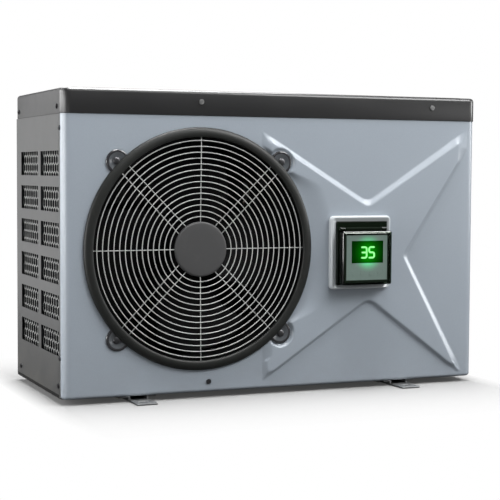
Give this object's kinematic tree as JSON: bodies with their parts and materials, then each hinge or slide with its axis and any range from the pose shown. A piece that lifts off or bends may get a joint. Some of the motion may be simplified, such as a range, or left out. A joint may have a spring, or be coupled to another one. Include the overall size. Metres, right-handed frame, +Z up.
{
  "type": "pool heat pump",
  "caption": "Box-shaped air-source pool heat pump with a round fan guard, a small lit controller under a flip cover, honeycomb side vents and side water unions.",
  "frame": {"origin": "centre of the four foot slots, on the floor plane under the foot rails", "axes": "+X to the right seen from the front, -Y out of the front panel, +Z up"},
  "size_m": [0.7845, 0.371, 0.491],
  "materials": {
    "galvanised": "galvanised sheet",
    "zinc": "zinc-plated",
    "front_paint": "satin blue-grey powder coat",
    "lid_paint": "satin charcoal powder coat",
    "side_paint": "satin grey powder coat",
    "grille_plastic": "moulded grey plastic",
    "black_plastic": "moulded black plastic",
    "dark_screw": "blackened steel",
    "gloss_black": "gloss",
    "wire_grey": "light grey plastic-coated wire",
    "cap_grey": "satin charcoal",
    "silver_plastic": "satin silver",
    "label_grey": "printed polyester membrane",
    "led_dark": "dark green filter",
    "led_green": "lit segments",
    "board": "solder mask",
    "smoked_clear": "smoked clear acrylic",
    "motor_paint": "dark grey enamel",
    "winding": "enamelled copper windings in a lamination stack",
    "steel": "ground steel",
    "black_paint": "black enamel",
    "rubber": "moulded rubber",
    "coated_fin": "dark epoxy-coated fin stock",
    "copper": "drawn copper",
    "brass": "brass",
    "black_pvc": "black PVC",
    "titanium": "titanium tube",
    "white_pvc": "white PVC",
    "white_plastic": "moulded white plastic"
  },
  "bodies": {
    "casing": {"base_pan": "galvanised", "foot_rail_left": "galvanised", "foot_rail_right": "galvanised", "foot_bolts": "zinc", "front_panel": "front_paint", "top_cover": "lid_paint", "left_side_panel": "side_paint", "side_grille": "grille_plastic", "right_side_panel": "side_paint", "rear_panel": "side_paint", "rear_coil_guard": "black_plastic", "partition_plate": "galvanised", "casing_screws": "dark_screw", "guard_ring": "gloss_black", "guard_wires": "wire_grey", "guard_cap": "cap_grey", "guard_screws": "dark_screw", "display_frame": "silver_plastic", "display_housing": "gloss_black", "controller_body": "gloss_black", "controller_face": "label_grey", "led_window": "led_dark", "led_digits": "led_green", "controller_pcb": "board", "fan_shroud": "black_plastic", "motor_bracket": "galvanised", "motor_front_shell": "motor_paint", "motor_rear_shell": "motor_paint", "motor_stator": "winding", "motor_bearings": "steel", "compressor": "black_paint", "compressor_grommets": "rubber", "accumulator": "black_paint", "evaporator_fins": "coated_fin", "evaporator_tubes": "copper", "coil_end_plates": "galvanised", "reversing_valve": "brass", "refrigerant_pipes": "copper", "filter_drier": "copper", "exchanger_shell": "black_pvc", "titanium_coil": "titanium", "water_ports": "black_pvc", "inlet_tailpiece": "white_pvc", "outlet_tailpiece": "white_pvc", "union_nuts": "black_pvc", "flow_switch": "white_plastic", "electrical_box": "galvanised", "electrical_cover": "galvanised", "main_board": "board", "cable_gland": "black_plastic"},
    "fan": {"fan_blade": "black_plastic", "motor_shaft": "steel", "motor_rotor": "steel", "fan_nut": "zinc"},
    "display_cover": {"display_cover": "smoked_clear"},
    "key_power": {"key_power": "label_grey"},
    "key_mode": {"key_mode": "label_grey"},
    "key_up": {"key_up": "label_grey"},
    "key_down": {"key_down": "label_grey"},
    "flow_paddle": {"flow_paddle": "steel"}
  },
  "joints": [
    {"name": "fan_spin", "type": "hinge", "parent": "casing", "child": "fan", "pos_m": [-0.1325, -0.0995, 0.239], "axis": [0, 1, 0], "continuous": true},
    {"name": "cover_hinge", "type": "hinge", "parent": "casing", "child": "display_cover", "pos_m": [0.1495, -0.1675, 0.269], "axis": [-1, 0, 0], "range_deg": [0, 110]},
    {"name": "press_power", "type": "slide", "parent": "casing", "child": "key_power", "axis": [0, 1, 0], "range_m": [0, 0.0005]},
    {"name": "press_mode", "type": "slide", "parent": "casing", "child": "key_mode", "axis": [0, 1, 0], "range_m": [0, 0.0005]},
    {"name": "press_up", "type": "slide", "parent": "casing", "child": "key_up", "axis": [0, 1, 0], "range_m": [0, 0.0005]},
    {"name": "press_down", "type": "slide", "parent": "casing", "child": "key_down", "axis": [0, 1, 0], "range_m": [0, 0.0005]},
    {"name": "paddle_swing", "type": "hinge", "parent": "casing", "child": "flow_paddle", "pos_m": [0.3555, 0.0005, 0.3274], "axis": [0, -1, 0], "range_deg": [0, 20]}
  ]
}
